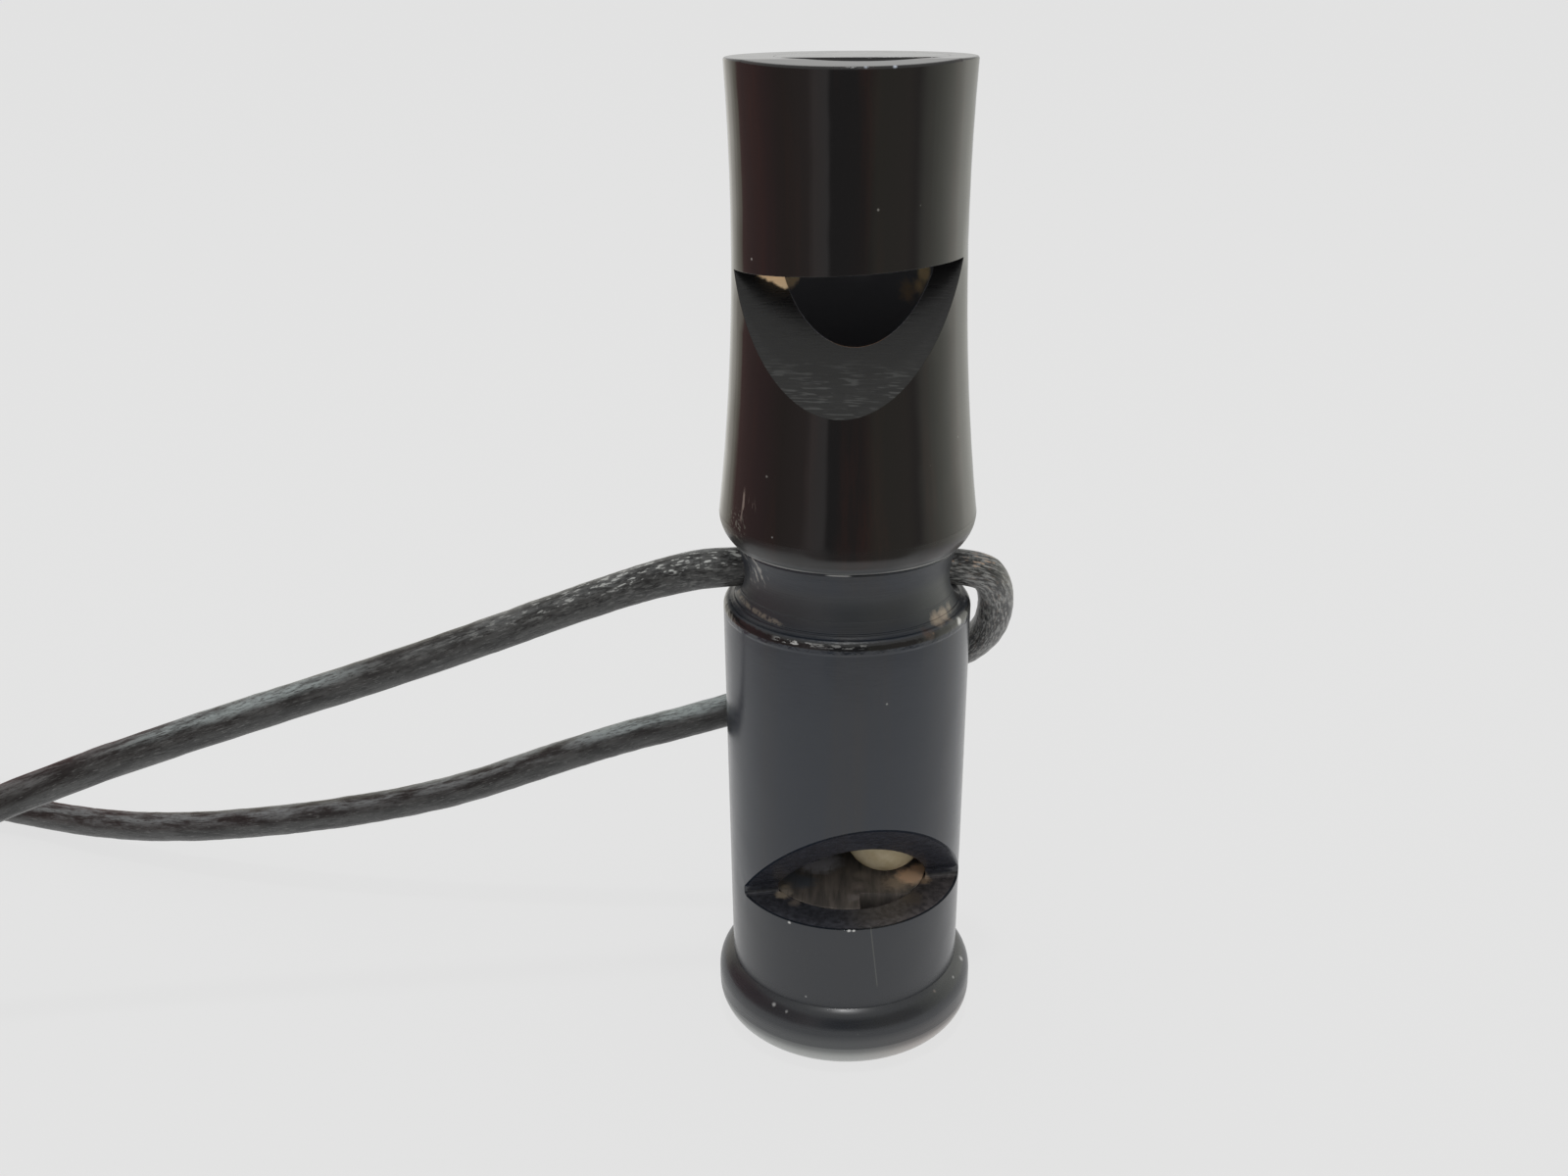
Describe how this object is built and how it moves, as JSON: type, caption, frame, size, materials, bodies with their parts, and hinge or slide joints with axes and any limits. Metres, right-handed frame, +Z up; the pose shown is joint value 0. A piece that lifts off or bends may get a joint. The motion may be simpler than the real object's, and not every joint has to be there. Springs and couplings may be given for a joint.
{
  "type": "bird call",
  "caption": "Double-ended horn bird call with a plain whistle at its upper end and a pea whistle at its foot, on a leather neck cord through its grooved neck.",
  "frame": {"origin": "middle of the foot's flat underside, on the barrels' axis", "axes": "+Z up along the barrels' axis from the foot to the upper mouth, -Y towards the side with the windows"},
  "size_m": [0.1612, 0.0547, 0.0819],
  "materials": {
    "horn": "polished black buffalo horn with faint brown streaks",
    "plug_horn": "filed brown horn, satin",
    "pea": "bare cream ball, matte",
    "leather_cord": "round black leather, worn pale in places"
  },
  "bodies": {
    "whistle": {"upper_barrel": "horn", "upper_fipple_plug": "plug_horn", "lower_barrel": "horn", "lower_fipple_plug": "plug_horn", "neck_cord": "leather_cord", "cord_coil": "leather_cord", "cord_knot": "leather_cord", "coil_tie": "leather_cord"},
    "loose_pea": {"pea": "pea"}
  },
  "joints": [
    {"name": "pea_travel", "type": "slide", "parent": "whistle", "child": "loose_pea", "axis": [0, 0, 1], "range_m": [0, 0.0115]}
  ]
}
